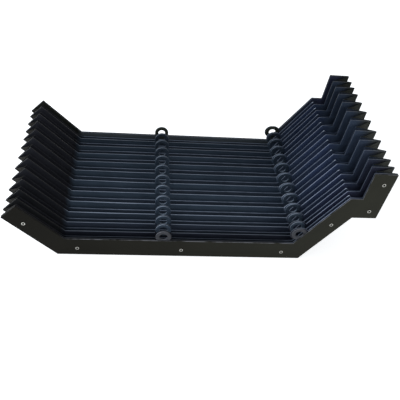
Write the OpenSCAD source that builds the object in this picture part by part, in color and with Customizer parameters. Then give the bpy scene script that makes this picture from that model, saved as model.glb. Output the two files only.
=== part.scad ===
// Bellows cover for a machine guide way: a stack of flat U-shaped support
// frames in one folded sheet, closed by a flat end plate at each end.
// X runs across the channel, Y along the extension (front is -Y), Z is up.

/* [Channel outline] */
// Length of the flat floor, corner to corner, along the outer edge
floor_w = 471.5; // [380:0.5:560]
// Length of the left wing along its outer edge
left_wing_len = 131.5; // [90:0.5:160]
// Slope of the left wing above level
left_wing_angle = 45; // [30:1:60]
// Length of the right wing along its outer edge
right_wing_len = 140; // [110:0.5:170]
// Slope of the right wing above level
right_wing_angle = 55.5; // [45:0.5:65]
// Width of the level step at the top of the right wing
step_w = 47; // [40:0.5:70]
// Length of the upright beyond the step
upright_len = 106; // [80:0.5:130]
// Slope of the upright above level
upright_angle = 85; // [75:1:88]

/* [Band depth] */
// Depth of the band under the floor
floor_band = 41; // [34:0.5:48]
// Depth of the band along the left wing
left_band = 39.5; // [34:0.5:48]
// Depth of the band along the right wing
right_band = 38; // [34:0.5:48]
// Depth of the band under the step
step_band = 46; // [36:0.5:50]
// Depth of the band along the upright
upright_band = 42.5; // [34:0.5:48]

/* [Frames and plates] */
// Number of support frames
frame_count = 13; // [5:1:17]
// Thickness of a support frame
frame_t = 2; // [1:0.1:2.4]
// Thickness of an end plate
plate_t = 2; // [1.5:0.1:3]

/* [Bays] */
// Length of the stack at rest, from the first frame to the last
stack_len = 338; // [290:1:400]
// Bay next to the back plate
bay_back = 24.8; // [18:0.2:26]
// Bay next to the front plate
bay_front = 18.7; // [16:0.1:26]

/* [Folded cover] */
// Thickness of the folded sheet
cover_t = 0.7; // [0.5:0.1:0.8]
// Clearance between the sheet and the frames it wraps
cover_gap = 0.3; // [0.2:0.05:0.4]
// Clearance between the sheet and the surface the cover stands on
rest_gap = 0.2; // [0.1:0.05:0.4]
// Height of the inner fold crests above the outer edge of the floor
crest_h = 37; // [30:0.5:37]
// Half width of a rounded fold crest
crest_r = 1.2; // [0.8:0.1:1.5]
// Height of the sheet's end hem between end plate and end frame
hem_h = 12; // [8:0.5:13]

/* [Guide rings] */
// Distance of the centre ring from the left floor corner
centre_ring_x = 200; // [150:1:240]
// Height of the centre ring above the inner edge of the floor
centre_ring_rise = 8.5; // [8:0.5:14]
// Distance of the corner ring from the right floor corner
corner_ring_inset = 10.5; // [8:0.5:16]
// Height of the corner ring above the inner edge of the floor
corner_ring_rise = 24.5; // [22:0.5:32]
// Width of the round tab that carries a ring
tab_w = 31; // [30:0.5:34]
// Stretch along the floor that the corner tab is wider than the centre tab
corner_tab_extra = 4; // [1:0.5:8]
// Width of the corner tab's foot on the right wing
corner_foot_w = 22; // [16:0.5:26]
// Outer diameter of a ring's flange
ring_d = 29.5; // [26:0.5:30]
// Bore of a guide ring
ring_bore = 16; // [12:0.5:17]
// Diameter of the ring's collar in the tab
collar_d = 20; // [19:0.5:22]
// Thickness of a ring's flange
flange_t = 1.2; // [0.8:0.1:1.2]
// Stretch of the collar that stands out behind the tab
collar_proud = 0.6; // [0.3:0.1:1]
// Radial clearance of the collar in its tab
collar_fit = 0.05; // [0.02:0.01:0.1]

/* [Eyelets] */
// Diameter of an eyelet's rolled rim
rim_d = 7.2; // [6.4:0.1:8]
// Thickness of an eyelet's rolled rim
rim_t = 0.8; // [0.5:0.1:1]
// Diameter of an eyelet's barrel
barrel_d = 5.1; // [5:0.1:5.8]
// Bore of an eyelet, for a small fixing screw
eyelet_bore = 4.3; // [3.2:0.1:4.4]
// Radial clearance of the barrel in its holes
barrel_fit = 0.05; // [0.02:0.01:0.1]
// Distance of the eyelets from the band's outer edge
eyelet_depth = 17.5; // [16:0.5:22]
// Distance of the end eyelets of the floor from its corners
floor_eyelet_inset = 38; // [30:1:60]
// Distance of the left wing's eyelet from the floor corner
left_eyelet_run = 95; // [70:1:110]
// Distance of the right wing's eyelet from the floor corner
right_eyelet_run = 104; // [80:1:115]
// Distance of the step's eyelet from the top of the right wing
step_eyelet_run = 28.5; // [22:0.5:34]
// Distance of the upright's eyelet from the step
upright_eyelet_run = 81; // [60:1:95]

/* [Hidden] */
$fn = 64;

// Corners of the outer edge, from the left tip to the right tip, with the
// left floor corner at the start of the floor
left_floor = [0, 0];
left_tip = left_wing_len * [-cos(left_wing_angle), sin(left_wing_angle)];
right_floor = [floor_w, 0];
step_start = right_floor + right_wing_len * [cos(right_wing_angle), sin(right_wing_angle)];
step_end = step_start + [step_w, 0];
right_tip = step_end + upright_len * [cos(upright_angle), sin(upright_angle)];
middle = [(left_tip.x + right_tip.x) / 2, 0];
outer = [for (p = [left_tip, left_floor, right_floor, step_start, step_end, right_tip]) p - middle];
band = [left_band, floor_band, right_band, step_band, upright_band];
last = len(band);

// Unit direction and inward normal of each straight run of the band
function unit(v) = v / norm(v);
function inward(v) = [-v.y, v.x];
run_dir = [for (i = [0 : last - 1]) unit(outer[i + 1] - outer[i])];
run_in = [for (u = run_dir) inward(u)];

// A corner moved inwards so that both runs beside it keep their own band depth
function mitre(a, da, b, db) =
    let (det = a.x * b.y - a.y * b.x) [(da * b.y - db * a.y) / det, (db * a.x - da * b.x) / det];
// The right tip is cut level, the left tip square to its wing
inner = concat(
    [outer[0] + left_band * run_in[0]],
    [for (i = [1 : last - 1]) outer[i] + mitre(run_in[i - 1], band[i - 1], run_in[i], band[i])],
    [outer[last] + [-upright_band / sin(upright_angle), 0]]);

// The outline's corners at one share of the band depth, 0 outside to 1 inside
function corners(share) = [for (i = [0 : last]) outer[i] + share * (inner[i] - outer[i])];

// Bays run from 1 at the back to bay_count at the front, widest at the peak.
// A bay's likeness to the end bay on its side is 0 at the peak and 1 at the end
bay_count = frame_count - 1;
peak = bay_count / 2 + 0.5;
function likeness(k) = k < peak
    ? (1 - cos(180 * (peak - k) / (peak - 1))) / 2
    : pow((k - peak) / (bay_count - peak), 2);
function end_bay(k) = k < peak ? bay_back : bay_front;
function total(list, i = 0) = i < len(list) ? list[i] + total(list, i + 1) : 0;
bay_peak = (stack_len - total([for (k = [1 : bay_count]) end_bay(k) * likeness(k)]))
    / (bay_count - total([for (k = [1 : bay_count]) likeness(k)]));
function bay(k) = bay_peak + (end_bay(k) - bay_peak) * likeness(k);
function run_of_bays(n) = n < 1 ? 0 : bay(n) + run_of_bays(n - 1);
// Middle plane of support frame k, and of the two end frames
function frame_y(k) = stack_len / 2 - run_of_bays(k - 1);
back_y = stack_len / 2;
front_y = -stack_len / 2;

// The sheet's middle line runs this far from a frame's middle plane, and this
// deep below its fold
wrap = frame_t / 2 + cover_gap + cover_t / 2;
fold_depth = rest_gap + cover_t / 2;
frame_edge = rest_gap + cover_t + cover_gap;
hem_space = cover_t + 2 * cover_gap;
plate_face = frame_t / 2 + hem_space;

centre_ring = left_floor - middle + [centre_ring_x, floor_band + centre_ring_rise];
corner_ring = right_floor - middle + [-corner_ring_inset, floor_band + corner_ring_rise];

// An eyelet's place: the run it is on, the distance from the run's start
function on_run(i, along) = outer[i] + along * run_dir[i] + eyelet_depth * run_in[i];
eyelets = [
    on_run(0, left_wing_len - left_eyelet_run),
    on_run(1, floor_eyelet_inset),
    on_run(1, floor_w / 2),
    on_run(1, floor_w - floor_eyelet_inset),
    on_run(2, right_eyelet_run),
    on_run(3, step_eyelet_run),
    on_run(4, upright_eyelet_run)];
eyelet_len = plate_t + hem_space + frame_t;

function numbered(name, k) = str(name, k < 10 ? "_0" : "_", k);

// A flat sheet in the XZ plane from y to y + t, cut to the outline given
module upright_sheet(y, t) {
    translate([0, y + t, 0]) rotate([90, 0, 0]) linear_extrude(t) children();
}

// A round bar along Y from y to y + l at the place p in the XZ plane
module bar(p, y, l, d) {
    translate([p.x, y + l, p.y]) rotate([90, 0, 0]) cylinder(h = l, d = d);
}

// The bent band from one share of its depth in to its inner edge
module band_outline(share) {
    rim = corners(1);
    polygon(concat(corners(share), [for (i = [last : -1 : 0]) rim[i]]));
}

module eyelet_holes() {
    for (p = eyelets) translate(p) circle(d = barrel_d + 2 * barrel_fit);
}

module end_plate(y) {
    color("#26251f") upright_sheet(y, plate_t) difference() {
        band_outline(0);
        eyelet_holes();
    }
}

// A round tab at the ring's place p, drawn out by extra along the floor, with a
// foot that runs square down to half the depth of run i of the band
module tab_outline(p, i, foot_w, extra) {
    reach = (p - outer[i]) * run_in[i] - band[i] / 2;
    for (side = extra > 0 ? [-1, 1] : [0])
        translate(p + [side * extra / 2, 0]) circle(d = tab_w);
    if (extra > 0)
        translate(p - [extra, tab_w] / 2) square([extra, tab_w]);
    translate(p) rotate(atan2(run_dir[i].y, run_dir[i].x))
        translate([-foot_w / 2, -reach]) square([foot_w, reach]);
}

module support_frame(k) {
    color("#1a202c") upright_sheet(frame_y(k) - frame_t / 2, frame_t) difference() {
        union() {
            band_outline(frame_edge / floor_band);
            tab_outline(centre_ring, 1, tab_w, 0);
            tab_outline(corner_ring, 2, corner_foot_w, corner_tab_extra);
        }
        for (p = [centre_ring, corner_ring])
            translate(p) circle(d = collar_d + 2 * collar_fit);
        if (k == 1 || k == frame_count) eyelet_holes();
    }
}

// A flange on the tab's front face and a collar through the tab
module guide_ring(p, k) {
    face = frame_y(k) - frame_t / 2;
    color("#50545c") difference() {
        union() {
            bar(p, face - flange_t, flange_t, ring_d);
            bar(p, face - flange_t, flange_t + frame_t + collar_proud, collar_d);
        }
        bar(p, face - 2 * flange_t, 3 * flange_t + frame_t + 2 * collar_proud, ring_bore);
    }
}

// Tubular eyelets through an end plate and the frame behind it; y is the
// lower Y face of the riveted stack
module eyelet_row(y) {
    color("#bebeb4") for (p = eyelets) difference() {
        union() {
            bar(p, y - rim_t, rim_t, rim_d);
            bar(p, y - rim_t, eyelet_len + 2 * rim_t, barrel_d);
            bar(p, y + eyelet_len, rim_t, rim_d);
        }
        bar(p, y - 2 * rim_t, eyelet_len + 4 * rim_t, eyelet_bore);
    }
}

// The sheet's middle line in the YZ plane, front to back, as [y, depth]: up
// the front hem, then under each frame and over a crest in each bay
function under_frame(k) = [[frame_y(k) - wrap, fold_depth], [frame_y(k) + wrap, fold_depth]];
function over_bay(k) = let (y = (frame_y(k) + frame_y(k + 1)) / 2, top = crest_h - cover_t / 2)
    [[y - crest_r, top - crest_r], [y, top], [y + crest_r, top - crest_r]];
cover_line = concat(
    [[front_y - wrap, hem_h]],
    [for (k = [bay_count : -1 : 1]) each concat(under_frame(k + 1), over_bay(k))],
    under_frame(1),
    [[back_y + wrap, hem_h]]);

// The middle line moved sideways by d, with mitred corners
function beside(line, d) = let (n = len(line) - 1) [for (i = [0 : n])
    let (a = inward(unit(line[max(i, 1)] - line[max(i, 1) - 1])),
         b = inward(unit(line[min(i + 1, n)] - line[min(i + 1, n) - 1])))
    line[i] + d * (a + b) / (1 + a * b)];

// One folded sheet: its section, swept through the outline's six corners
module folded_cover() {
    under = beside(cover_line, -cover_t / 2);
    over = beside(cover_line, cover_t / 2);
    section = concat(under, [for (i = [len(over) - 1 : -1 : 0]) over[i]]);
    n = len(section);
    points = [for (i = [0 : last]) for (s = section)
        let (p = corners(s.y / floor_band)[i]) [p.x, s.x, p.y]];
    sides = [for (i = [0 : last - 1]) for (j = [0 : n - 1])
        let (m = (j + 1) % n) [i * n + j, i * n + m, (i + 1) * n + m, (i + 1) * n + j]];
    left_end = [for (j = [0 : len(under) - 2]) [n - 1 - j, n - 2 - j, j + 1, j]];
    right_end = [for (q = left_end) [for (j = [3 : -1 : 0]) last * n + q[j]]];
    color("#161a24") polyhedron(points, concat(sides, left_end, right_end));
}

end_plate(front_y - plate_face - plate_t);  // front_plate
end_plate(back_y + plate_face);  // back_plate
eyelet_row(front_y - plate_face - plate_t);  // front_eyelets
eyelet_row(back_y - frame_t / 2);  // back_eyelets
folded_cover();
for (k = [1 : frame_count]) {
    support_frame(k);
    guide_ring(centre_ring, k);
    guide_ring(corner_ring, k);
}
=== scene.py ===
"""Looks of the bellows cover: frames, plates, rings, eyelets and the folded sheet."""
import math

import bpy
import numpy as np
from mathutils import Matrix, Vector, geometry, noise


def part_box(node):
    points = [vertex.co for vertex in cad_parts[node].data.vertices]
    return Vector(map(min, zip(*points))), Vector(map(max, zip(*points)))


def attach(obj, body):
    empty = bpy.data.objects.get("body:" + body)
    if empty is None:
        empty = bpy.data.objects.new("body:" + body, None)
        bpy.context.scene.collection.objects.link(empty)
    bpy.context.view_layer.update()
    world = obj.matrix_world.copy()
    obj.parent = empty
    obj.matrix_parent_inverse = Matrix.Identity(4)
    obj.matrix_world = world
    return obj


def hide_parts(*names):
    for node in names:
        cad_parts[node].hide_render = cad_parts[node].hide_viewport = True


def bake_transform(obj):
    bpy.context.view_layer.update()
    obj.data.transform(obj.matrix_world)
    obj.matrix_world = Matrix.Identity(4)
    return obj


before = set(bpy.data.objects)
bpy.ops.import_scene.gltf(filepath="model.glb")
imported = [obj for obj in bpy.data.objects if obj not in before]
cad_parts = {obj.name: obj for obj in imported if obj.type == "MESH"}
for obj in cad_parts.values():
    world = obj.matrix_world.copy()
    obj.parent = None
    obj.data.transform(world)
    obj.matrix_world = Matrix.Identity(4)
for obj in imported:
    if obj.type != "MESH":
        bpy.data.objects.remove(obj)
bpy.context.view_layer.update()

MM = 0.001
FRAME_COUNT = 13
BAY_COUNT = FRAME_COUNT - 1

# Outline of the channel, as in the part's source
LEFT_WING_LEN, LEFT_WING_ANGLE = 131.5 * MM, math.radians(45)
FLOOR_W = 471.5 * MM
RIGHT_WING_LEN, RIGHT_WING_ANGLE = 140 * MM, math.radians(55.5)
STEP_W = 47 * MM
UPRIGHT_LEN, UPRIGHT_ANGLE = 106 * MM, math.radians(85)
LEFT_BAND, FLOOR_BAND, RIGHT_BAND, STEP_BAND, UPRIGHT_BAND = [v * MM for v in (39.5, 41, 38, 46, 42.5)]

# Sheets, folds, rings and eyelets
FRAME_T, PLATE_T, COVER_T = 2 * MM, 2 * MM, 0.7 * MM
COVER_GAP, REST_GAP = 0.3 * MM, 0.2 * MM
WRAP = FRAME_T / 2 + COVER_GAP + COVER_T / 2
FOLD_DEPTH = REST_GAP + COVER_T / 2
FRAME_EDGE = REST_GAP + COVER_T + COVER_GAP
CREST_H, CREST_R = 37 * MM, 0.75 * MM
HEM_H = 12 * MM
TAB_R, RING_R, RING_BORE_R, COLLAR_R = [v * MM for v in (15.5, 14.75, 8, 10)]
CORNER_TAB_EXTRA = 4 * MM
FLANGE_T, COLLAR_PROUD = 1.2 * MM, 0.6 * MM
RIM_R, RIM_T, BARREL_R, EYELET_BORE_R = [v * MM for v in (3.6, 0.8, 2.55, 2.15)]

# Looks only: edge radii, and the longest steps along the loops
PLATE_BEVEL, FRAME_BEVEL = 0.35 * MM, 0.3 * MM
PLATE_STEP, FRAME_STEP = 12 * MM, 9 * MM


def two_digits(name, k):
    return f"{name}_{k:02d}"


def body_of_frame(k):
    if k == 1:
        return "back_end"
    return "front_end" if k == FRAME_COUNT else two_digits("fold", k)


def node_middle(node):
    low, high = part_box(node)
    return (Vector(low) + Vector(high)) / 2


# Places taken from the frame's nodes
FRAME_Y = {k: node_middle(two_digits("frame", k)).y for k in range(1, FRAME_COUNT + 1)}
BACK_Y, FRONT_Y = FRAME_Y[1], FRAME_Y[FRAME_COUNT]
CENTRE_RING = node_middle("centre_ring_01")
CORNER_RING = node_middle("corner_ring_01")


def unit(v):
    return v / np.linalg.norm(v)


def inward(v):
    return np.array([-v[1], v[0]])


def outline_corners():
    """The band's outer and inner corners in the XZ plane, from left tip to right tip."""
    runs = [(LEFT_WING_LEN, -LEFT_WING_ANGLE), (FLOOR_W, 0), (RIGHT_WING_LEN, RIGHT_WING_ANGLE),
            (STEP_W, 0), (UPRIGHT_LEN, UPRIGHT_ANGLE)]
    bands = [LEFT_BAND, FLOOR_BAND, RIGHT_BAND, STEP_BAND, UPRIGHT_BAND]
    points = [np.array([0.0, LEFT_WING_LEN * math.sin(LEFT_WING_ANGLE)])]
    for length, slope in runs:
        points.append(points[-1] + length * np.array([math.cos(slope), math.sin(slope)]))
    outer = np.array(points) - [(points[0][0] + points[-1][0]) / 2, 0]
    along = [unit(outer[i + 1] - outer[i]) for i in range(len(runs))]
    normal = [inward(u) for u in along]
    inner = [outer[0] + LEFT_BAND * normal[0]]
    for i in range(1, len(runs)):
        sides = np.array([normal[i - 1], normal[i]])
        inner.append(outer[i] + np.linalg.solve(sides, [bands[i - 1], bands[i]]))
    inner.append(outer[-1] - [UPRIGHT_BAND / math.sin(UPRIGHT_ANGLE), 0])
    return outer, np.array(inner), along


OUTER, INNER, ALONG = outline_corners()
LAST = len(OUTER) - 1


def corners(share):
    """The corners of a line that runs this share of the way from the outer to the inner edge."""
    return OUTER + share * (INNER - OUTER)


# How far each frame's tips lean along Y from the frame's middle plane, back to
# front, because the cover doesn't stand quite square
LEFT_LEAN = [v * MM for v in (0, 3, -0.4, -1.2, 0.5, 3, 3.5, 2.5, 2.8, 1.5, 0.2, -1.6, 0)]
RIGHT_LEAN = [v * MM for v in (0, 0.8, 2.8, 3.2, 0.4, -2.2, 0, -3, -0.7, -2.8, -2, 0, 0)]
LEAN_START = 60 * MM
# A slight wave in each frame's sheet: how far, how many to a metre and where it starts
BOW, BOWS_PER_M, BOW_START = 0.9 * MM, 9, 60 * MM


def smooth(t):
    """0 up to t = 0 and 1 from t = 1 on, with a soft rise between."""
    t = np.clip(t, 0, 1)
    return t * t * (3 - 2 * t)


def lean(k, x):
    """How far frame k leans along Y at the places x: not at all between the ring rows, most
    at the tips."""
    x = np.asarray(x, float)
    left_edge, right_edge = CENTRE_RING.x - LEAN_START, CORNER_RING.x + TAB_R
    left = smooth((left_edge - x) / (left_edge - OUTER[0][0]))
    right = smooth((x - right_edge) / (OUTER[-1][0] - right_edge))
    return LEFT_LEAN[k - 1] * left + RIGHT_LEAN[k - 1] * right


def bow(k, x):
    """A slight wave in a frame's sheet, still where the rings sit."""
    near = np.minimum(np.abs(x - CENTRE_RING.x), np.abs(x - CORNER_RING.x))
    free = smooth((near - 1.2 * TAB_R) / BOW_START)
    wave = np.array([noise.noise(Vector((v * BOWS_PER_M, k * 3.7, 0.5))) for v in np.atleast_1d(x)])
    return BOW * free * wave


# Mesh helpers
def new_object(name, vertices, faces, smooth_angle=35):
    mesh = bpy.data.meshes.new(name)
    mesh.from_pydata([tuple(v) for v in vertices], [], [tuple(f) for f in faces])
    mesh.validate()
    mesh.polygons.foreach_set("use_smooth", [True] * len(mesh.polygons))
    mesh.set_sharp_from_angle(angle=math.radians(smooth_angle))
    obj = bpy.data.objects.new(name, mesh)
    bpy.context.scene.collection.objects.link(obj)
    return obj


def run_points(a, b, step):
    """Points from a up to, but without, b, no more than step apart."""
    a, b = np.asarray(a, float), np.asarray(b, float)
    n = max(1, math.ceil(np.linalg.norm(b - a) / step - 1e-6))
    return [a + (b - a) * i / n for i in range(n)]


def path_points(turns, step):
    """Points along the straight runs between the turns given, but without the last turn."""
    points = []
    for a, b in zip(turns, turns[1:]):
        points += run_points(a, b, step)
    return points


def arc_points(centre, radius, start, end, n):
    angles = np.linspace(start, end, n + 1)
    return [np.array([centre[0] + radius * math.cos(a), centre[1] + radius * math.sin(a)]) for a in angles]


def inset_loop(loop, depth):
    """A closed loop moved to its left by depth, with mitred corners."""
    loop = np.asarray(loop)
    before, after = np.roll(loop, 1, axis=0), np.roll(loop, -1, axis=0)
    a = np.array([inward(unit(v)) for v in loop - before])
    b = np.array([inward(unit(v)) for v in after - loop])
    return loop + depth * (a + b) / np.maximum(1 + (a * b).sum(axis=1, keepdims=True), 0.3)


def bevelled_sheet(name, loops, y, thickness, bevel, shift=None):
    """A flat sheet in the XZ plane round y with rounded edges. The outer loop runs
    anticlockwise and the holes clockwise; shift(x) moves it along Y."""
    profile = [(-thickness / 2, bevel), (-thickness / 2 + 0.3 * bevel, 0.3 * bevel),
               (-thickness / 2 + bevel, 0), (thickness / 2 - bevel, 0),
               (thickness / 2 - 0.3 * bevel, 0.3 * bevel), (thickness / 2, bevel)]
    vertices, faces, rings = [], [], []
    for loop in loops:
        rows = []
        for depth_y, inset in profile:
            moved = inset_loop(loop, inset)
            base = len(vertices)
            vertices += [(p[0], y + depth_y, p[1]) for p in moved]
            rows.append(list(range(base, base + len(moved))))
        n = len(loop)
        for low, high in zip(rows, rows[1:]):
            faces += [(low[i], low[(i + 1) % n], high[(i + 1) % n], high[i]) for i in range(n)]
        rings.append(rows)
    for row, flip in ((0, False), (-1, True)):
        flat = [[Vector((vertices[i][0], vertices[i][2], 0)) for i in rows[row]] for rows in rings]
        ids = [i for rows in rings for i in rows[row]]
        for tri in geometry.tessellate_polygon(flat):
            tri = [ids[i] for i in tri]
            a, b, c = [np.array([vertices[i][0], vertices[i][2]]) for i in tri]
            area = (b[0] - a[0]) * (c[1] - a[1]) - (c[0] - a[0]) * (b[1] - a[1])
            faces.append(tri if (area > 0) != flip else tri[::-1])
    vertices = np.array(vertices)
    if shift is not None:
        vertices[:, 1] += shift(vertices[:, 0])
    return new_object(name, vertices, faces)


def lathe(name, profile, centre, segments=56):
    """A ring round an axis along Y through centre; the profile is a closed loop of (radius, y)."""
    n = len(profile)
    vertices, faces = [], []
    for s in range(segments):
        a = 2 * math.pi * s / segments
        for radius, y in profile:
            vertices.append((centre[0] + radius * math.cos(a), y, centre[1] + radius * math.sin(a)))
    for s in range(segments):
        t = (s + 1) % segments
        for i in range(n):
            j = (i + 1) % n
            faces.append((s * n + i, s * n + j, t * n + j, t * n + i))
    return new_object(name, vertices, faces, 40)


# Flat sheets
def tab_arch(x, z, start, end):
    """The round end of a ring tab, between two angles in radians."""
    steps_per_radian = 8
    return arc_points((x, z), TAB_R, start, end, round(steps_per_radian * (end - start)))


def wing_crossing(x, side):
    """Where a tab circle at x crosses the right wing's inner edge, the upper (1) or lower
    (-1) place, with its angle round the circle."""
    centre = np.array([x, CORNER_RING.z])
    foot = INNER[2] + ALONG[2] * ((centre - INNER[2]) @ ALONG[2])
    half_chord = math.sqrt(TAB_R ** 2 - ((centre - foot) @ (centre - foot)))
    place = foot + side * half_chord * ALONG[2]
    return place, math.atan2(*(place - centre)[::-1])


def frame_loop():
    """A support frame's outer loop, anticlockwise seen from the front, with both tab arches."""
    edge, inner = list(corners(FRAME_EDGE / FLOOR_BAND)), list(INNER)
    # The corner tab has two round ends: the right one leaves the right wing's inner
    # edge, the left one comes back to it
    tab_left, tab_right = [CORNER_RING.x + side * CORNER_TAB_EXTRA / 2 for side in (-1, 1)]
    leaves, start = wing_crossing(tab_right, 1)
    returns, end = wing_crossing(tab_left, -1)
    points = path_points(edge + [inner[5], inner[4], inner[3], leaves], FRAME_STEP)
    points += tab_arch(tab_right, CORNER_RING.z, start, math.pi / 2)
    points += tab_arch(tab_left, CORNER_RING.z, math.pi / 2, end + 2 * math.pi)
    # The second arch has already given the place where it returns
    foot, side_top = [(CENTRE_RING.x + TAB_R, z) for z in (INNER[1][1], CENTRE_RING.z)]
    points += path_points([returns, inner[2], foot, side_top], FRAME_STEP)[1:]
    points += tab_arch(CENTRE_RING.x, CENTRE_RING.z, 0, math.pi)
    points += path_points([(CENTRE_RING.x - TAB_R, INNER[1][1]), inner[1], inner[0], edge[0]], FRAME_STEP)
    return points


def plate_loop():
    return path_points(list(OUTER) + list(INNER[::-1]) + [OUTER[0]], PLATE_STEP)


def hole(centre, radius, n):
    """A round hole's loop, clockwise."""
    return arc_points(centre, radius, 2 * math.pi, 0, n)[:-1]


def eyelet_places():
    """Middles of the eyelets in the XZ plane, from the front eyelets' own mesh."""
    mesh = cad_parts["front_eyelets"].data
    points = np.array([v.co for v in mesh.vertices])[:, [0, 2]]
    places = []
    while len(points):
        near = np.linalg.norm(points - points[0], axis=1) < 3 * RIM_R
        low, high = points[near].min(axis=0), points[near].max(axis=0)
        places.append((low + high) / 2)
        points = points[~near]
    return places


EYELETS = eyelet_places()


def make_plate(node, body):
    holes = [hole(p, BARREL_R, 20) for p in EYELETS]
    plate = bevelled_sheet(f"{node}_sheet", [plate_loop()] + holes, node_middle(node).y,
                           PLATE_T, PLATE_BEVEL)
    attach(plate, body)
    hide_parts(node)
    plate.data.materials.append(MATERIALS["plate"])


def make_frame(k):
    at_plate = k in (1, FRAME_COUNT)
    rings = [hole((c.x, c.z), COLLAR_R, 40) for c in (CENTRE_RING, CORNER_RING)]
    eyes = [hole(p, BARREL_R, 16) for p in EYELETS] if at_plate else []

    def shift(x):
        return lean(k, x) if at_plate else lean(k, x) + bow(k, x)

    sheet = bevelled_sheet(two_digits("support_frame", k), [frame_loop()] + rings + eyes,
                           FRAME_Y[k], FRAME_T, FRAME_BEVEL, shift)
    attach(sheet, body_of_frame(k))
    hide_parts(two_digits("frame", k))
    sheet.data.materials.append(MATERIALS["frame"])


def rounded(points, turns=4):
    """A closed (radius, y) loop; each point is given with its fillet, 0 for a sharp one."""
    out = []
    n = len(points)
    for i, (r, y, fillet) in enumerate(points):
        here = np.array([r, y])
        if not fillet:
            out.append(here)
            continue
        before = here + fillet * unit(np.array(points[i - 1][:2]) - here)
        after = here + fillet * unit(np.array(points[(i + 1) % n][:2]) - here)
        for t in np.linspace(0, 1, turns + 1):
            out.append((1 - t) ** 2 * before + 2 * t * (1 - t) * here + t * t * after)
    return out


def make_ring(row, centre, k):
    """A guide ring: a rounded flange on the tab's front and a collar through the tab."""
    face = FRAME_Y[k] - FRAME_T / 2
    front, back = face - FLANGE_T, face + FRAME_T + COLLAR_PROUD
    profile = rounded([(RING_BORE_R, front, 0.4 * MM), (RING_BORE_R, back, 0.15 * MM),
                       (COLLAR_R, back, 0.15 * MM), (COLLAR_R, face, 0),
                       (RING_R, face, 0), (RING_R, front, 0.45 * MM)])
    ring = lathe(two_digits(f"{row}_guide", k), profile, (centre.x, centre.z))
    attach(ring, body_of_frame(k))
    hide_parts(two_digits(f"{row}_ring", k))
    ring.data.materials.append(MATERIALS[{1: "back_ring", FRAME_COUNT: "front_ring"}.get(k, "ring")])


def make_eyelets(node, body):
    """Seven tubular eyelets, each rolled over into a rim at both ends."""
    low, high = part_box(node)
    front, back = low[1], high[1]
    profile = rounded([(EYELET_BORE_R, front, 0.5 * MM), (EYELET_BORE_R, back, 0.5 * MM),
                       (RIM_R, back, 0.6 * MM), (RIM_R, back - RIM_T, 0),
                       (BARREL_R, back - RIM_T, 0), (BARREL_R, front + RIM_T, 0),
                       (RIM_R, front + RIM_T, 0), (RIM_R, front, 0.6 * MM)])
    parts = [lathe(f"{node}_{i}", profile, p, 28) for i, p in enumerate(EYELETS)]
    bpy.ops.object.select_all(action="DESELECT")
    for part in parts:
        part.select_set(True)
    bpy.context.view_layer.objects.active = parts[0]
    bpy.ops.object.join()
    eyelets = parts[0]
    eyelets.name = f"{node}_rolled"
    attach(eyelets, body)
    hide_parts(node)
    eyelets.data.materials.append(MATERIALS["eyelet"])


# The folded sheet
COLUMN_STEP = 5 * MM
LEG_ROWS = 12
CREST_ROWS = 6
# How the sheet turns under a frame: shares of WRAP along Y with heights over FOLD_DEPTH
TURN = [(0, 0.0), (0.6, 0.03 * MM), (0.9, 0.3 * MM), (1, 0.9 * MM)]
# How far each bay's crest lies behind the middle between its frames, back to front
CREST_BACK = [v * MM for v in (2.2, 2.2, 2, 1.8, 1.5, 1.2, 1, 0.8, 0.8, 0.6, 0.5, 0.3)]
# The crest lies lower beyond the right wing's top corner and higher along that wing
STEP_DROP, STEP_DROP_RUN = 3 * MM, 9 * MM
WING_RISE, WING_RISE_RUN, WING_FALL_RUN = 2.2 * MM, 25 * MM, 10 * MM
# A small tuck stands up where the crest turns a corner
TUCK_H, TUCK_HALF_W = 1.1 * MM, 5 * MM
# The cut ends are pulled in between the frames
END_PULL, END_PULL_RUN = 4 * MM, 14 * MM
# Unevenness: crest up and down, crest to and fro, and the legs' bulge
CREST_WAVE, CREST_RIPPLE, CREST_SAG = 0.35 * MM, 0.12 * MM, 0.3 * MM
CREST_SWAY = 0.8 * MM
LEG_BULGE, LEG_SLACK, END_BULGE = 0.8 * MM, 0.9 * MM, 1.5 * MM


def sheet_columns():
    """Outer and inner points of the band at each column, with the distance along its middle."""
    outer, inner = [], []
    for i in range(LAST):
        n = math.ceil(np.linalg.norm(OUTER[i + 1] - OUTER[i]) / COLUMN_STEP)
        for j in range(n):
            outer.append(OUTER[i] + (OUTER[i + 1] - OUTER[i]) * j / n)
            inner.append(INNER[i] + (INNER[i + 1] - INNER[i]) * j / n)
    outer.append(OUTER[LAST])
    inner.append(INNER[LAST])
    outer, inner = np.array(outer), np.array(inner)
    middle = (outer + inner) / 2
    steps = np.linalg.norm(np.diff(middle, axis=0), axis=1)
    return outer, inner, np.concatenate([[0], np.cumsum(steps)])


SHEET_OUTER, SHEET_INNER, SHEET_ALONG = sheet_columns()


def along_at(corner):
    """The distance along the sheet at a corner of the outline."""
    return SHEET_ALONG[np.argmin(np.linalg.norm(SHEET_OUTER - OUTER[corner], axis=1))]


def along_noise(bay, per_m, seed):
    """Smooth noise along one bay, between about -1 and 1."""
    return np.array([noise.noise(Vector((s * per_m, bay * 5.3, seed))) for s in SHEET_ALONG])


def mirrored(rows):
    """Rows of a section, seen from the other frame."""
    return [(1 - weight, -dy, depth) for weight, dy, depth in reversed(rows)]


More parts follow.
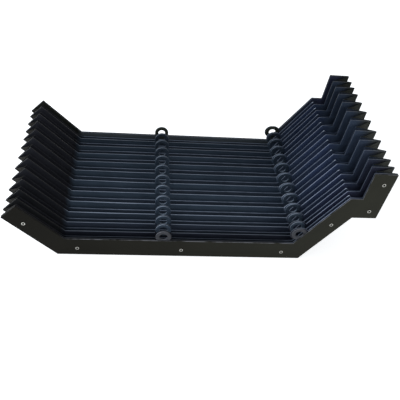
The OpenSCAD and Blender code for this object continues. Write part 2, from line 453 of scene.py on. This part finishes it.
def bay_section(bay):
    """The sheet's middle line across one bay, from under the back frame to under the
    front one, as (weight towards the front frame, offset along Y, depth)."""
    foot, top = FOLD_DEPTH + TURN[-1][1], CREST_H - COVER_T / 2 - CREST_R
    half = [(0, -share * WRAP, FOLD_DEPTH + rise) for share, rise in TURN]
    for i in range(1, LEG_ROWS):
        u = i / LEG_ROWS
        half.append((0.5 * u, -WRAP + (WRAP + CREST_R) * u, foot + (top - foot) * u))
    crest = []
    for i in range(CREST_ROWS + 1):
        a = math.pi * i / CREST_ROWS
        crest.append((0.5, CREST_R * math.cos(a), top + CREST_R * math.sin(a)))
    hem = [(0, WRAP, HEM_H), (0, WRAP, HEM_H / 2)]
    hem += [(0, share * WRAP, FOLD_DEPTH + rise) for share, rise in reversed(TURN[1:])]
    rows = half + crest + mirrored(half)
    if bay == 1:
        rows = hem + rows
    if bay == BAY_COUNT:
        rows = rows + mirrored(hem)
    return rows


def bay_grid(bay):
    """Middle points of one bay's sheet as a (column, row, xyz) grid, and its section's rows."""
    outer, inner, along = SHEET_OUTER, SHEET_INNER, SHEET_ALONG
    rows = bay_section(bay)
    wave, ripple, slack = along_noise(bay, 14, 0.3), along_noise(bay, 45, 7.1), along_noise(bay, 20, 3.9)
    tuck = np.zeros(len(along))
    for corner in range(1, LAST):
        tuck = np.maximum(tuck, np.exp(-((along - along_at(corner)) / TUCK_HALF_W) ** 2))
    foot_at, top_at = along_at(2), along_at(3)
    drop = STEP_DROP * smooth((along - top_at) / STEP_DROP_RUN)
    rise = WING_RISE * smooth((along - foot_at) / WING_RISE_RUN)
    rise *= smooth((top_at + 4 * MM - along) / WING_FALL_RUN)
    uneven = CREST_WAVE * wave + CREST_RIPPLE * ripple + TUCK_H * tuck - CREST_SAG + rise - drop
    pull = np.exp(-np.minimum(along, along[-1] - along) / END_PULL_RUN)
    side = np.where(along < along[-1] / 2, 1.0, -1.0)
    direction = np.gradient(outer, axis=0)
    direction /= np.linalg.norm(direction, axis=1)[:, None]
    grid = np.zeros((len(along), len(rows), 3))
    for j, (w, dy, depth) in enumerate(rows):
        height = min(1.0, max(0.0, (depth - FRAME_EDGE) / (CREST_H - FRAME_EDGE)))
        free = math.sin(math.pi * min(1, max(0, w)))
        d = depth + height ** 2 * free * uneven
        place = outer + (d / FLOOR_BAND)[:, None] * (inner - outer)
        place = place + direction * (END_PULL * pull * free ** 1.5 * side)[:, None]
        back_y = FRAME_Y[bay] + lean(bay, place[:, 0])
        front_y = FRAME_Y[bay + 1] + lean(bay + 1, place[:, 0])
        y = (1 - w) * back_y + w * front_y + dy
        y = y + free * height * (CREST_BACK[bay - 1] + CREST_SWAY * wave)
        bulge = math.sin(math.pi * height) * free * (1 if w < 0.5 else -1)
        y = y - bulge * (LEG_BULGE + LEG_SLACK * slack + END_BULGE * pull)
        grid[:, j, 0], grid[:, j, 1], grid[:, j, 2] = place[:, 0], y, place[:, 1]
    # The lowest folds lie on the surface that the cover stands on
    grid[:, :, 2] = np.maximum(grid[:, :, 2], COVER_T / 2 + 0.1 * MM)
    return grid, rows


def developed(grid):
    """Distances across the folds, along the middle column."""
    middle = grid[len(grid) // 2]
    return np.concatenate([[0], np.cumsum(np.linalg.norm(np.diff(middle, axis=0), axis=1))])


INSIDE, OUTSIDE, CUT = 0, 1, 2
SHEET_MATERIALS = ("cloth_inside", "cloth_outside", "cloth_edge")


def skin_faces(u, v):
    """Faces of two skins with len(u) by len(v) points each, closed along the four edges,
    with the material's number and the four weave places of each face."""
    n, m = len(u), len(v)
    size = n * m
    faces, kinds, places = [], [], []

    def quad(points, kind, weave):
        faces.append(points)
        kinds.append(kind)
        places.extend(weave)

    for i in range(n - 1):
        for j in range(m - 1):
            a, b, c, d = i * m + j, (i + 1) * m + j, (i + 1) * m + j + 1, i * m + j + 1
            weave = [(u[i], v[j]), (u[i + 1], v[j]), (u[i + 1], v[j + 1]), (u[i], v[j + 1])]
            quad((a, d, c, b), INSIDE, [weave[0], weave[3], weave[2], weave[1]])
            quad((size + a, size + b, size + c, size + d), OUTSIDE, weave)
    for j in range(m - 1):
        for i, flip in ((0, False), (n - 1, True)):
            a, d = i * m + j, i * m + j + 1
            ring = (a, d, size + d, size + a) if flip else (a, size + a, size + d, d)
            quad(ring, CUT, [(u[i], v[j])] * 4)
    for i in range(n - 1):
        for j, flip in ((0, True), (m - 1, False)):
            a, b = i * m + j, (i + 1) * m + j
            ring = (a, b, size + b, size + a) if flip else (a, size + a, size + b, b)
            quad(ring, CUT, [(u[i], v[j])] * 4)
    return faces, kinds, places


def crest_highlight_and_paler_folds(rows):
    """How pale each point is painted: a painted highlight along the crest on the floor and the
    right wing, more than 1 in a painted glint at that wing's top corner, and a little under the frames."""
    depths = np.array([depth for _, _, depth in rows])
    crest = np.exp(-((depths - CREST_H + COVER_T / 2) / (0.4 * MM)) ** 2)
    fold = np.exp(-((depths - FOLD_DEPTH) / (1.2 * MM)) ** 2)
    floor_start, top = along_at(1), along_at(3)
    wear_and_highlight = smooth((SHEET_ALONG - floor_start) / (8 * MM))
    wear_and_highlight *= smooth((top + 6 * MM - SHEET_ALONG) / (8 * MM))
    spot = np.exp(-((SHEET_ALONG - top) / (3.5 * MM)) ** 2)
    return np.maximum((wear_and_highlight + 1.2 * spot)[:, None] * crest[None, :], 0.6 * fold[None, :]).ravel()


def make_bay(bay):
    """One bay of the folded sheet: two skins COVER_T apart, closed along the four edges."""
    grid, rows = bay_grid(bay)
    n, m = grid.shape[:2]
    normal = np.cross(np.gradient(grid, axis=0), np.gradient(grid, axis=1))
    normal /= np.linalg.norm(normal, axis=2)[:, :, None]
    if normal[n // 2, m // 2, 2] < 0:
        normal = -normal
    upper, lower = grid + normal * COVER_T / 2, grid - normal * COVER_T / 2
    vertices = np.concatenate([upper.reshape(-1, 3), lower.reshape(-1, 3)])
    u, v = SHEET_ALONG, developed(grid)
    faces, kinds, places = skin_faces(u, v)
    sheet = new_object(two_digits("cover_bay", bay), vertices, faces, 50)
    mesh = sheet.data
    for material in SHEET_MATERIALS:
        mesh.materials.append(MATERIALS[material])
    mesh.polygons.foreach_set("material_index", kinds)
    layer = mesh.uv_layers.new(name="weave")
    layer.data.foreach_set("uv", np.array(places, float).ravel())
    highlight_and_paler_folds = crest_highlight_and_paler_folds(rows)
    attribute = mesh.attributes.new("crease", "FLOAT", "POINT")
    attribute.data.foreach_set("value", np.concatenate([highlight_and_paler_folds, highlight_and_paler_folds]).astype(np.float32))
    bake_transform(sheet)
    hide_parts("folded_cover")


# Materials
def srgb(r, g, b):
    """A colour given as 0 to 255 on screen, in the linear values that a shader takes."""
    def linear(c):
        c /= 255
        return c / 12.92 if c <= 0.04045 else ((c + 0.055) / 1.055) ** 2.4
    return (linear(r), linear(g), linear(b), 1)


# Sockets of a Mix node that mixes colours
MIX_A, MIX_B, MIX_RESULT = 6, 7, 2


class Shader:
    """A material with a Principled shader and short calls for its nodes."""

    def __init__(self, name, roughness, metallic=0.0, **sockets):
        self.material = bpy.data.materials.new(name)
        self.material.use_nodes = True
        self.tree = self.material.node_tree
        self.nodes, self.links = self.tree.nodes, self.tree.links
        self.shader = self.nodes["Principled BSDF"]
        self.shader.inputs["Roughness"].default_value = roughness
        self.shader.inputs["Metallic"].default_value = metallic
        for socket, value in sockets.items():
            self.shader.inputs[socket.replace("_", " ")].default_value = value
        self.height = None

    def add(self, kind, **values):
        node = self.nodes.new(kind)
        for key, value in values.items():
            setattr(node, key, value)
        return node

    def plug(self, value, socket):
        if isinstance(value, bpy.types.NodeSocket):
            self.links.new(value, socket)
        else:
            socket.default_value = value

    def math(self, operation, a, b, clamp=False):
        node = self.add("ShaderNodeMath", operation=operation, use_clamp=clamp)
        self.plug(a, node.inputs[0])
        self.plug(b, node.inputs[1])
        return node.outputs[0]

    def mix(self, factor, a, b):
        node = self.add("ShaderNodeMix", data_type="RGBA")
        self.plug(factor, node.inputs["Factor"])
        self.plug(a, node.inputs[MIX_A])
        self.plug(b, node.inputs[MIX_B])
        return node.outputs[MIX_RESULT]

    def ramp(self, value, low, high, start=0.0, end=1.0):
        """From start, where the value is low, to end, where it is high."""
        node = self.add("ShaderNodeMapRange", clamp=True)
        self.plug(value, node.inputs["Value"])
        for socket, number in zip(("From Min", "From Max", "To Min", "To Max"), (low, high, start, end)):
            node.inputs[socket].default_value = number
        return node.outputs["Result"]

    def scale(self, colour, factor):
        node = self.add("ShaderNodeVectorMath", operation="SCALE")
        self.plug(colour if isinstance(colour, bpy.types.NodeSocket) else colour[:3], node.inputs[0])
        self.plug(factor, node.inputs["Scale"])
        return node.outputs[0]

    def shade(self, colour, pattern, darker, lighter):
        """A colour scaled from darker to lighter where the pattern goes from 0 to 1."""
        return self.scale(colour, self.ramp(pattern, 0, 1, darker, lighter))

    def place(self, kind="Object"):
        return self.add("ShaderNodeTexCoord").outputs[kind]

    def noise(self, vector, scale, detail=4.0, roughness=0.55):
        node = self.add("ShaderNodeTexNoise")
        self.plug(vector, node.inputs["Vector"])
        node.inputs["Scale"].default_value = scale
        node.inputs["Detail"].default_value = detail
        node.inputs["Roughness"].default_value = roughness
        return node.outputs["Fac"]

    def wave(self, vector, scale, axis, distortion=0.0):
        node = self.add("ShaderNodeTexWave", wave_type="BANDS", bands_direction=axis, wave_profile="SIN")
        self.plug(vector, node.inputs["Vector"])
        node.inputs["Scale"].default_value = scale
        node.inputs["Distortion"].default_value = distortion
        return node.outputs["Fac"]

    def bump(self, height, distance, strength=1.0):
        node = self.add("ShaderNodeBump")
        self.plug(height, node.inputs["Height"])
        node.inputs["Distance"].default_value = distance
        node.inputs["Strength"].default_value = strength
        if self.height is not None:
            self.links.new(self.height, node.inputs["Normal"])
        self.height = node.outputs["Normal"]
        self.links.new(self.height, self.shader.inputs["Normal"])

    def colour(self, value):
        self.plug(value, self.shader.inputs["Base Color"])

    def rough(self, value):
        self.plug(value, self.shader.inputs["Roughness"])


def along_axis(s, axis, start, end, at_start=0.0, at_end=1.0):
    """A value that goes from at_start to at_end between two places along X, Y or Z."""
    place = s.add("ShaderNodeSeparateXYZ")
    s.links.new(s.place(), place.inputs[0])
    return s.ramp(place.outputs[axis], start, end, at_start, at_end)


def cut_edge(s, out=0.2, flat=0.5):
    """1 where a face looks along the sheet's plane, 0 on its flat side; out and flat are
    the shares of the normal along Y at which it is 1 and 0."""
    normal = s.add("ShaderNodeSeparateXYZ")
    s.links.new(s.place("Normal"), normal.inputs[0])
    return s.ramp(s.math("ABSOLUTE", normal.outputs["Y"], 0), flat, out)


def from_axis(s, ring):
    """Distance from the axis of a row of rings."""
    flat = s.add("ShaderNodeVectorMath", operation="MULTIPLY")
    s.links.new(s.place(), flat.inputs[0])
    flat.inputs[1].default_value = (1, 0, 1)
    away = s.add("ShaderNodeVectorMath", operation="DISTANCE")
    s.links.new(flat.outputs[0], away.inputs[0])
    away.inputs[1].default_value = (ring.x, 0, ring.z)
    return away.outputs["Value"]


def by_run(s, left, floor, corner, right, upright, tip):
    """A colour for each stretch of the band: left wing, floor, its right end, right wing,
    step and upright, outer half of the upright."""
    # Painted light and shade: the stretches' colours differ by how the light falls on each stretch.
    # Where each stretch begins, over how far on both sides it blends in, and its colour
    stretches = [(INNER[1][0] - 4 * MM, 6 * MM, floor),
                 (OUTER[2][0] - 85 * MM, 25 * MM, corner),
                 (OUTER[2][0] + 10 * MM, 25 * MM, right),
                 ((OUTER[3][0] + INNER[3][0]) / 2, 10 * MM, upright),
                 ((OUTER[LAST][0] + INNER[LAST][0]) / 2, 8 * MM, tip)]
    colour = left
    for x, half, here in stretches:
        colour = s.mix(along_axis(s, "X", x - half, x + half), colour, here)
    return colour


def on_right(s):
    """0 on the left wing and the floor, 1 from the foot of the right wing on."""
    return along_axis(s, "X", OUTER[2][0] - 60 * MM, OUTER[2][0] + 30 * MM)


def lit_by_row(s, colour, back, front):
    """Painted light: edge and crest highlights are scaled from back at the back row to front at
    the front one, brighter towards the front; on the left wing and the floor the last rows are dimmed,
    painted shade."""
    rising = along_axis(s, "Y", BACK_Y, FRONT_Y, back, front)
    falling = along_axis(s, "Y", FRONT_Y, FRONT_Y + 80 * MM, 0.12, front)
    falling = s.math("MAXIMUM", falling, on_right(s))
    return s.scale(colour, s.math("MINIMUM", rising, falling))


def darker_ends(s, colour):
    """Painted shade: the first rows are darker than the middle ones, but not on the left wing,
    and so are the last rows on the floor."""
    first = along_axis(s, "Y", FRAME_Y[3], FRAME_Y[7], 0.62, 1.0)
    last = along_axis(s, "Y", FRONT_Y, FRAME_Y[FRAME_COUNT - 2], 0.1, 1.0)
    both = s.math("MULTIPLY", first, s.math("MAXIMUM", last, on_right(s)))
    on_left = along_axis(s, "X", INNER[1][0] + 6 * MM, INNER[1][0] - 14 * MM)
    return s.scale(colour, s.math("MAXIMUM", both, on_left))


def paler_step(s, colour):
    """Painted light: the step's stretch of the band is paler than the wing and the upright beside it,
    lifting the shade of the corners between them.
    """
    start, end, paler = OUTER[3][0], INNER[4][0], 1.7
    rising = along_axis(s, "X", start - 12 * MM, start + 4 * MM, 1.0, paler)
    falling = along_axis(s, "X", end - 4 * MM, end + 8 * MM, paler, 1.0)
    return s.scale(colour, s.math("MINIMUM", rising, falling))


def back_to_front(s, back, front):
    return s.mix(along_axis(s, "Y", BACK_Y, FRONT_Y), back, front)


def cloth(name, runs, tips, crease, spot):
    """Coated woven cloth: a fine weave under the coating, with a painted highlight on the crests and paler
    folds. runs holds the colours of by_run but the last, and tips that one in the back and the front rows."""
    s = Shader(name, 0.5, Specular_IOR_Level=0.058)
    uv = s.add("ShaderNodeUVMap", uv_map="weave").outputs["UV"]
    across, along = s.wave(uv, 260, "X"), s.wave(uv, 260, "Y")
    patches = s.noise(uv, 22, 5)
    crest_highlight_and_fold = s.add("ShaderNodeAttribute", attribute_name="crease").outputs["Fac"]
    # The painted glint: where the crest's paleness goes over 1
    bright = s.math("SUBTRACT", crest_highlight_and_fold, 1.0, clamp=True)
    crest_highlight_and_fold = s.math("MULTIPLY", crest_highlight_and_fold, s.ramp(s.noise(uv, 60, 3), 0.05, 0.5))
    runs = by_run(s, *runs, back_to_front(s, *tips))
    base = s.shade(paler_step(s, runs), s.ramp(patches, 0.35, 0.7), 0.82, 1.2)
    base = darker_ends(s, base)
    # Painted highlight along the crests, paler folds, and a painted glint (spot) at the right wing's top
    # corner
    s.colour(s.mix(bright, s.mix(crest_highlight_and_fold, base, lit_by_row(s, crease, 0.6, 1.05)), spot))
    s.rough(s.math("ADD", 0.46, s.math("MULTIPLY", patches, 0.2)))
    s.bump(s.math("MULTIPLY", across, along), 0.00012, 0.6)
    s.bump(s.noise(uv, 120, 3), 0.0004, 0.5)
    return s.material


def plastic_sheet():
    """Blue-black sheet plastic, satin and a little uneven, with a painted highlight on the cut edges. The
    frames near the front plate have darker purplish faces, painted shade; the back plate's own frame's
    faces have another hue."""
    s = Shader("frame_sheet_plastic", 0.45, Specular_IOR_Level=0.125)
    spot = s.place()
    patches = s.noise(spot, 18, 4)
    # Painted light and shade: face colours for each stretch, lifted at the floor's right end against the
    # right wing's shade
    face = by_run(s, srgb(44, 45, 51), srgb(72, 86, 102), srgb(77, 91, 109), srgb(73, 87, 120),
                  srgb(62, 73, 91), back_to_front(s, srgb(42, 47, 46), srgb(72, 75, 76)))
    # Painted shade: the faces darken towards the front plate
    dark, purple = srgb(26, 28, 27), srgb(40, 35, 50)
    near_plate = s.mix(0.8, face, by_run(s, dark, purple, purple, purple, purple, purple))
    face = s.mix(along_axis(s, "Y", FRONT_Y, FRAME_Y[FRAME_COUNT - 4]), near_plate, face)
    on_back_plate = by_run(s, srgb(36, 38, 35), srgb(91, 98, 104), srgb(91, 98, 104), srgb(68, 75, 94),
                           srgb(60, 64, 86), srgb(44, 46, 54))
    face = s.mix(along_axis(s, "Y", BACK_Y - 8 * MM, BACK_Y - 2 * MM), face, on_back_plate)
    face = s.shade(paler_step(s, face), s.ramp(patches, 0.3, 0.75), 0.85, 1.18)
    face = darker_ends(s, face)
    # Painted highlight: the cut edges' pale colour stands in for the light they catch, near black on the
    # left wing, which the key light misses
    edge = by_run(s, srgb(9, 9, 11), srgb(110, 118, 132), srgb(116, 124, 138), srgb(118, 126, 144),
                  srgb(68, 74, 86), srgb(68, 72, 74))
    edge = lit_by_row(s, s.shade(edge, s.noise(spot, 70, 3), 0.75, 1.25), 0.38, 1.4)
    # Painted highlight: dimmer round the tabs than along the long edges
    for ring, least in ((CENTRE_RING, 0.5), (CORNER_RING, 0.9)):
        edge = s.shade(edge, s.ramp(from_axis(s, ring), TAB_R, 1.25 * TAB_R), least, 1.0)
    s.colour(s.mix(cut_edge(s), face, edge))
    s.rough(s.math("ADD", 0.36, s.math("MULTIPLY", patches, 0.2)))
    s.bump(s.noise(spot, 900, 2), 0.00004, 0.5)
    s.bump(s.noise(spot, 25, 2), 0.0006, 0.35)
    return s.material


def plate_paint():
    """Warm black paint on metal with a slight orange peel, paler at the edges, partly worn thin and partly
    painted highlight; lighter towards the right, painted light.
    """
    s = Shader("plate_black_paint", 0.5, Specular_IOR_Level=0.05)
    spot = s.place()
    patches = s.noise(spot, 9, 5)
    # Painted light: the face is lighter from the left tip towards the right
    lit_towards_right = along_axis(s, "X", OUTER[0][0], OUTER[-1][0])
    face = s.shade(s.mix(lit_towards_right, srgb(22, 20, 15), srgb(49, 49, 42)), s.ramp(patches, 0.3, 0.7), 0.85, 1.15)
    # Paint worn thin at the edges together with a painted highlight, left dark on the left wing
    wear_and_highlight = s.math("MULTIPLY", cut_edge(s), s.ramp(s.noise(spot, 55, 4), 0.35, 0.6))
    on_wing = along_axis(s, "X", INNER[1][0] + 10 * MM, INNER[1][0] - 10 * MM)
    s.colour(s.mix(wear_and_highlight, face, s.mix(on_wing, srgb(112, 112, 116), srgb(34, 34, 33))))
    s.rough(s.math("ADD", 0.4, s.math("MULTIPLY", patches, 0.22)))
    s.bump(s.noise(spot, 420, 2), 0.00008, 0.5)
    return s.material


# Which way the rings' painted highlight faces
UPPER_LEFT = (-0.55, 0, 0.84)


def ring_plastic(name, dark, pale, rim):
    """Moulded plastic, a little dusty, darker in the back rows as painted shade. Its round edges
    get a painted highlight, brightest at the upper left, where the key light comes from, and less in the
    bore."""
    s = Shader(name, 0.38, Specular_IOR_Level=0.115)
    spot = s.place()
    dust = s.ramp(s.noise(spot, 160, 4), 0.35, 0.7)
    turned = cut_edge(s, out=0.5, flat=0.85)
    away = s.math("MINIMUM", from_axis(s, CENTRE_RING), from_axis(s, CORNER_RING))
    outside = s.ramp(away, RING_BORE_R + 0.2 * MM, RING_BORE_R + 0.8 * MM, 0.3, 1.0)
    side = s.add("ShaderNodeVectorMath", operation="DOT_PRODUCT")
    s.links.new(s.place("Normal"), side.inputs[0])
    side.inputs[1].default_value = UPPER_LEFT
    to_light = s.ramp(side.outputs["Value"], 0.1, 0.95, 0.1, 1.0)
    wear_and_highlight = s.math("MULTIPLY", s.math("MULTIPLY", turned, outside), to_light)
    # Painted shade: darker towards the back rows
    by_row = along_axis(s, "Y", BACK_Y, FRAME_Y[8], at_start=0.4, at_end=1.15)
    s.colour(s.scale(s.mix(wear_and_highlight, s.mix(dust, dark, pale), rim), by_row))
    s.rough(s.math("ADD", 0.32, s.math("MULTIPLY", dust, 0.2)))
    s.bump(s.noise(spot, 500, 2), 0.00005, 0.4)
    return s.material


def eyelet_metal():
    """Nickel-plated brass, lightly scratched, tarnished round the rim's edge and darker from
    the floor on."""
    s = Shader("eyelet_nickel", 0.3, 1.0)
    spot = s.place()
    marks = s.noise(spot, 700, 3)
    bright = s.mix(marks, srgb(186, 185, 178), srgb(222, 221, 215))
    half = 20 * MM
    from_floor = along_axis(s, "X", OUTER[1][0] - half, OUTER[1][0] + half, at_start=1.0, at_end=0.68)
    from_wing = along_axis(s, "X", OUTER[2][0] - half, OUTER[2][0] + half, at_start=1.0, at_end=1.05)
    bright = s.scale(bright, s.math("MULTIPLY", from_floor, from_wing))
    s.colour(s.mix(cut_edge(s, out=0.6, flat=0.95), bright, srgb(84, 83, 78)))
    s.rough(s.math("ADD", 0.22, s.math("MULTIPLY", marks, 0.25)))
    s.bump(marks, 0.00003, 0.5)
    return s.material


MATERIALS = {
    "cloth_inside": cloth(
        "cover_cloth_inside",
        runs=[srgb(29, 30, 35), srgb(46, 54, 65), srgb(50, 58, 70), srgb(48, 58, 81), srgb(44, 51, 64)],
        tips=[srgb(34, 38, 40), srgb(56, 60, 60)],
        crease=srgb(112, 121, 138), spot=srgb(190, 198, 212)),
    "cloth_outside": cloth(
        "cover_cloth_outside",
        runs=[srgb(32, 30, 24), srgb(24, 25, 24), srgb(24, 25, 24), srgb(24, 26, 22), srgb(20, 23, 18)],
        tips=[srgb(28, 32, 26), srgb(52, 54, 50)],
        crease=srgb(32, 34, 32), spot=srgb(60, 63, 60)),
    "cloth_edge": cloth(
        "cover_cloth_edge",
        runs=[srgb(18, 19, 18), srgb(30, 32, 32), srgb(30, 32, 32), srgb(32, 35, 33), srgb(28, 31, 28)],
        tips=[srgb(26, 29, 26), srgb(40, 42, 40)],
        crease=srgb(52, 55, 53), spot=srgb(60, 63, 60)),
    "frame": plastic_sheet(),
    "plate": plate_paint(),
    "ring": ring_plastic(
        "guide_ring_plastic", dark=srgb(54, 65, 78), pale=srgb(67, 79, 93), rim=srgb(142, 152, 166)),
    "front_ring": ring_plastic(
        "front_ring_plastic", dark=srgb(52, 53, 58), pale=srgb(67, 68, 73), rim=srgb(112, 114, 122)),
    "back_ring": ring_plastic(
        "back_ring_plastic", dark=srgb(72, 76, 66), pale=srgb(86, 90, 80), rim=srgb(98, 102, 92)),
    "eyelet": eyelet_metal(),
}

# The photograph's camera, fitted to the plates' corners, the frames' tips and the ring tops
CAMERA_PLACE = Vector((-103.6, -906.2, 812.7)) * MM
CAMERA_YAW, CAMERA_PITCH, CAMERA_ROLL = [math.radians(v) for v in (-8.29, 41.84, 7.2)]
PICTURE_WIDTH_PX, FOCAL_PX, SENSOR_MM = 400, 557.1, 36.0


def make_camera():
    back = Vector((math.sin(CAMERA_YAW) * math.cos(CAMERA_PITCH),
                   -math.cos(CAMERA_YAW) * math.cos(CAMERA_PITCH), math.sin(CAMERA_PITCH)))
    right = (-back).cross(Vector((0, 0, 1))).normalized()
    up = right.cross(-back)
    cos_roll, sin_roll = math.cos(CAMERA_ROLL), math.sin(CAMERA_ROLL)
    right, up = cos_roll * right + sin_roll * up, cos_roll * up - sin_roll * right
    data = bpy.data.cameras.new("photo_camera")
    data.sensor_width = SENSOR_MM
    data.lens = FOCAL_PX / PICTURE_WIDTH_PX * SENSOR_MM
    camera = bpy.data.objects.new("photo_camera", data)
    bpy.context.scene.collection.objects.link(camera)
    turn = Matrix((right, up, back)).transposed()
    camera.matrix_world = Matrix.Translation(CAMERA_PLACE) @ turn.to_4x4()
    bpy.context.scene.camera = camera


def make_lamp(name, place, aim, width, height, power, colour):
    data = bpy.data.lights.new(name, "AREA")
    data.shape = "RECTANGLE"
    data.size, data.size_y = width, height
    data.energy = power
    data.color = colour
    lamp = bpy.data.objects.new(name, data)
    bpy.context.scene.collection.objects.link(lamp)
    lamp.location = place
    lamp.rotation_mode = "QUATERNION"
    lamp.rotation_quaternion = (Vector(aim) - Vector(place)).to_track_quat("-Z", "Y")


def sees_white(nodes, links):
    """1 for rays that show the white background: seen, mirrored or seen through glass."""
    ray = nodes.new("ShaderNodeLightPath")
    total = ray.outputs["Is Camera Ray"]
    for kind in ("Is Glossy Ray", "Is Transmission Ray"):
        either = nodes.new("ShaderNodeMath")
        either.operation = "MAXIMUM"
        links.new(total, either.inputs[0])
        links.new(ray.outputs[kind], either.inputs[1])
        total = either.outputs[0]
    return total


def make_world():
    world = bpy.data.worlds.new("studio")
    world.use_nodes = True
    nodes, links = world.node_tree.nodes, world.node_tree.links
    soft = nodes["Background"]
    soft.inputs["Color"].default_value = (0.86, 0.93, 1.0, 1)
    soft.inputs["Strength"].default_value = 0.55
    white = nodes.new("ShaderNodeBackground")
    white.inputs["Color"].default_value = (1, 1, 1, 1)
    mixer = nodes.new("ShaderNodeMixShader")
    links.new(sees_white(nodes, links), mixer.inputs[0])
    links.new(soft.outputs[0], mixer.inputs[1])
    links.new(white.outputs[0], mixer.inputs[2])
    links.new(mixer.outputs[0], nodes["World Output"].inputs[0])
    bpy.context.scene.world = world


# The floor of the studio, in metres, lies just under the cover
STUDIO_SIZE, STUDIO_DROP = 14, 0.5 * MM


def make_floor():
    bpy.ops.mesh.primitive_plane_add(size=STUDIO_SIZE, location=(0, 0, -STUDIO_DROP))
    floor = bpy.context.object
    floor.name = "studio_floor"
    material = bpy.data.materials.new("studio_white")
    material.use_nodes = True
    nodes, links = material.node_tree.nodes, material.node_tree.links
    matte = nodes["Principled BSDF"]
    matte.inputs["Base Color"].default_value = (0.82, 0.82, 0.82, 1)
    matte.inputs["Roughness"].default_value = 0.9
    matte.inputs["Specular IOR Level"].default_value = 0.0
    glow = nodes.new("ShaderNodeEmission")
    glow.inputs["Strength"].default_value = 0.7
    total, mixer = nodes.new("ShaderNodeAddShader"), nodes.new("ShaderNodeMixShader")
    links.new(matte.outputs[0], total.inputs[0])
    links.new(glow.outputs[0], total.inputs[1])
    links.new(sees_white(nodes, links), mixer.inputs[0])
    links.new(matte.outputs[0], mixer.inputs[1])
    links.new(total.outputs[0], mixer.inputs[2])
    links.new(mixer.outputs[0], nodes["Material Output"].inputs[0])
    floor.data.materials.append(material)


make_camera()
make_world()
make_floor()
make_lamp("key_softbox", place=(-1.75, 0.1, 1.15), aim=(0, 0, 0.05), width=1.1, height=0.9,
          power=26, colour=(0.90, 0.95, 1.0))
make_lamp("front_fill", place=(1.1, -1.25, 0.8), aim=(0.1, 0, 0.06), width=0.9, height=0.7,
          power=5, colour=(1.0, 0.97, 0.92))

make_plate("front_plate", "front_end")
make_plate("back_plate", "back_end")
make_eyelets("front_eyelets", "front_end")
make_eyelets("back_eyelets", "back_end")
for number in range(1, FRAME_COUNT + 1):
    make_frame(number)
    make_ring("centre", CENTRE_RING, number)
    make_ring("corner", CORNER_RING, number)
for number in range(1, BAY_COUNT + 1):
    make_bay(number)

bpy.context.scene.view_settings.view_transform = "Standard"
